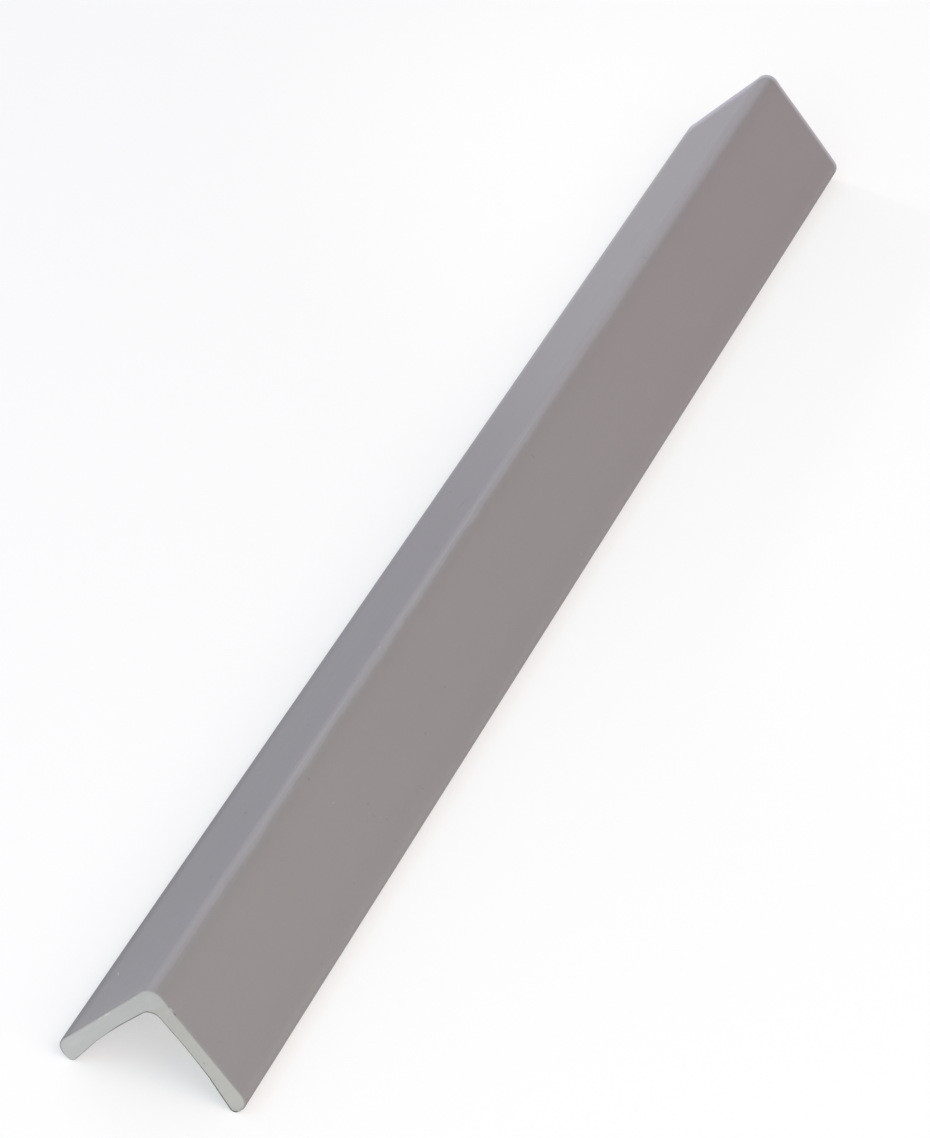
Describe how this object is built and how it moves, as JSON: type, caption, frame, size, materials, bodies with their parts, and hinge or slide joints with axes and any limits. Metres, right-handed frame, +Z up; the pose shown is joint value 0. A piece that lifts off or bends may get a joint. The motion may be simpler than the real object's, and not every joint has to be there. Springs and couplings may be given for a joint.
{
  "type": "l-shaped cladding trim",
  "caption": "Straight angle trim of foamed plastic that covers a cladding corner: equal legs, a rounded corner and thickened, rounded leg ends.",
  "frame": {"origin": "on the floor that the two leg ends rest on, below the outer corner, at half length", "axes": "+X along the trim, +Z up through the outer corner, +Y towards one of the two legs"},
  "size_m": [0.45, 0.0496, 0.0318],
  "materials": {
    "foamed_plastic": "satin"
  },
  "bodies": {
    "root": {"corner_trim": "foamed_plastic"}
  },
  "joints": []
}
